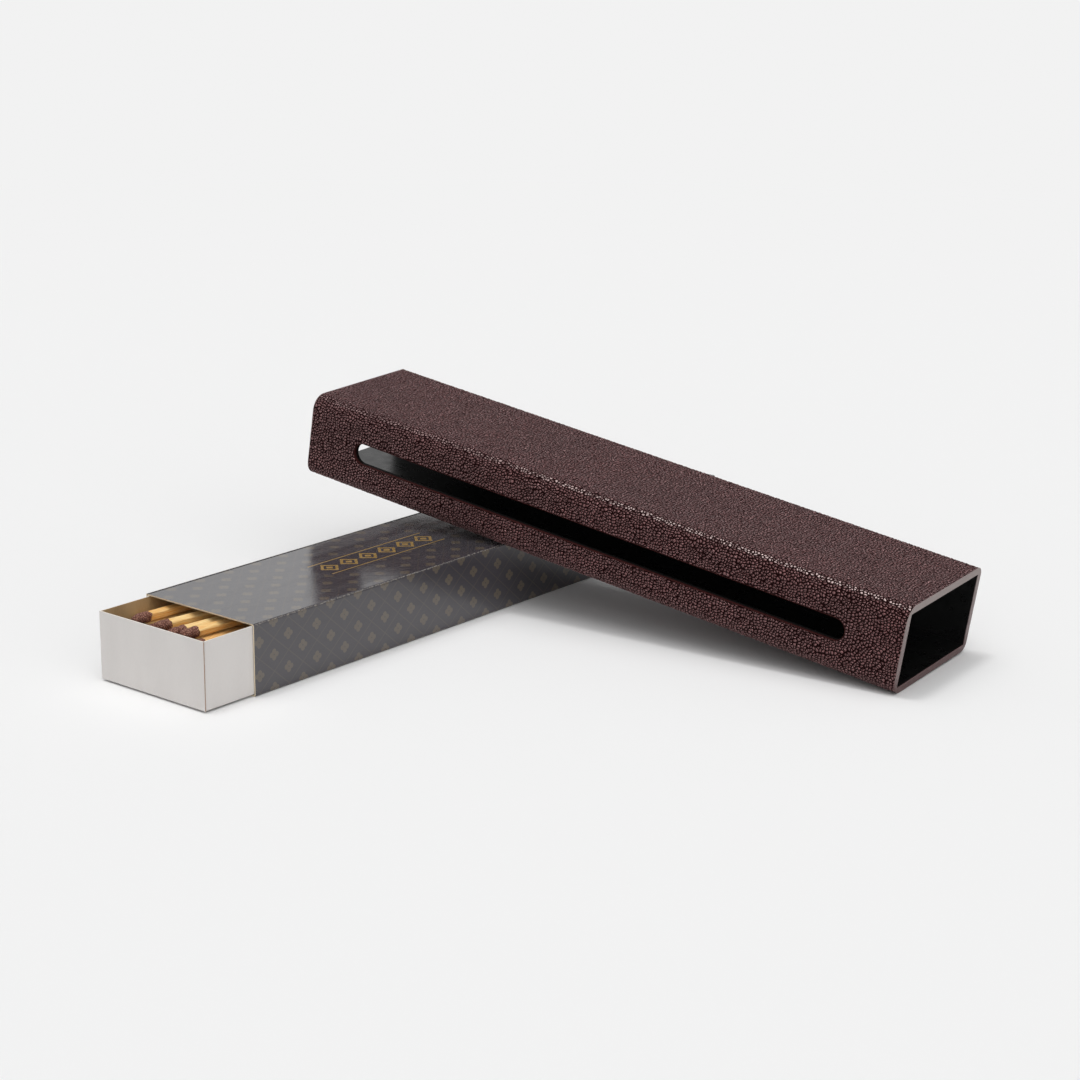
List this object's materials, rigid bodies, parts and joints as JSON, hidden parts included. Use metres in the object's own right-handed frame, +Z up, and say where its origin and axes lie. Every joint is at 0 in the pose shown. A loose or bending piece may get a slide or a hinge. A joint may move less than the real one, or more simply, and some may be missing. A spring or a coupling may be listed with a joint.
{
  "type": "matchbox holder",
  "caption": "Leather-wrapped open-ended sleeve with a long slot in one side, leaning on the long matchbox it holds; the box's drawer slides and is filled with matches.",
  "frame": {"origin": "on the ground at the middle of the underside of the matchbox cover", "axes": "+Z up, +X along the matchbox from its open drawer into the cover, -Y towards the low end of the holder"},
  "size_m": [0.3144, 0.2867, 0.0797],
  "materials": {
    "burgundy_leather": "pebbled shagreen grain, satin",
    "grey_board": "dense grey board",
    "black_lining": "smooth black lining leather",
    "taupe_edge_paint": "satin edge paint",
    "dark_slot_paint": "satin edge paint",
    "printed_card": "printed and glossed",
    "striking_coat": "gritty coating",
    "white_tray_card": "white outside, brown inside",
    "splint_wood": "dry pale aspen",
    "match_head_mix": "gritty and matt"
  },
  "bodies": {
    "matchbox_cover": {"cover_card": "printed_card", "striker_strip": "striking_coat"},
    "drawer": {"tray_card": "white_tray_card", "loose_match_splints": "splint_wood", "loose_match_heads": "match_head_mix", "match_splints_layer_1": "splint_wood", "match_splints_layer_2": "splint_wood", "match_splints_layer_3": "splint_wood", "match_splints_layer_4": "splint_wood", "match_splints_layer_5": "splint_wood", "match_heads_layer_1": "match_head_mix", "match_heads_layer_2": "match_head_mix", "match_heads_layer_3": "match_head_mix", "match_heads_layer_4": "match_head_mix", "match_heads_layer_5": "match_head_mix"},
    "holder": {"leather_wrap": "burgundy_leather", "core_top_board": "grey_board", "core_bottom_board": "grey_board", "core_slotted_board": "grey_board", "core_back_board": "grey_board", "lining": "black_lining", "low_end_edge_coat": "taupe_edge_paint", "high_end_edge_coat": "taupe_edge_paint", "slot_edge_coat": "dark_slot_paint"}
  },
  "joints": [
    {"name": "drawer_slide", "type": "slide", "parent": "matchbox_cover", "child": "drawer", "axis": [1, 0, 0], "range_m": [-0.2, 0.25]},
    {"name": "holder_lift", "type": "slide", "parent": "matchbox_cover", "child": "holder", "axis": [0, 0, 1], "range_m": [0, 0.06]}
  ]
}
